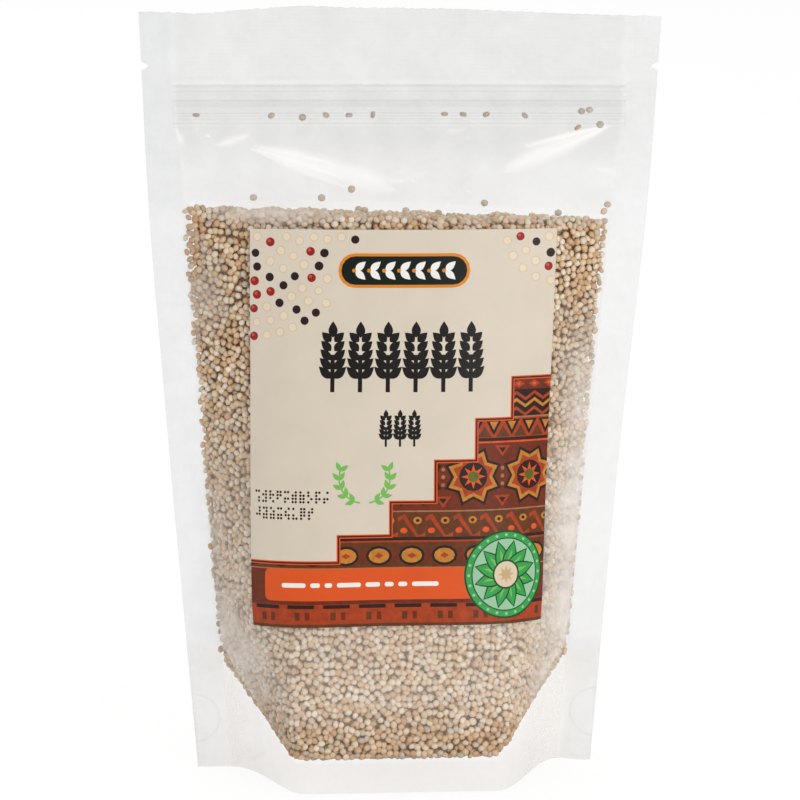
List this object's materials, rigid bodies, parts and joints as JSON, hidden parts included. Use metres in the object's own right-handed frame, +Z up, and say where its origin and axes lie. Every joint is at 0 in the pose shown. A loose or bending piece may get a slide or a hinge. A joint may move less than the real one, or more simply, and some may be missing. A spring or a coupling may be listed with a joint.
{
  "type": "stand-up pouch of quinoa",
  "caption": "Clear gusseted stand-up pouch filled with pale quinoa, with a press zip under its sealed header, tear notches in the side seals and a printed paper label on its front.",
  "frame": {"origin": "on the surface the pouch stands on, under the middle of its bounding box", "axes": "+Z up along the pouch's height, +X to the right across its width, the labelled front faces -Y"},
  "size_m": [0.14, 0.0654, 0.2086],
  "materials": {
    "filled_film": "clear glossy film over pale cream and tan quinoa",
    "clear_film": "clear, slightly milky film with a soft gloss",
    "quinoa": "small dry seeds, cream to amber, satin skin",
    "zip_plastic": "milky extruded strip with fine ribs",
    "label_paper": "cream printed paper with a light coating"
  },
  "bodies": {
    "root": {"pouch": "filled_film", "zip": "zip_plastic", "label": "label_paper"}
  },
  "joints": []
}
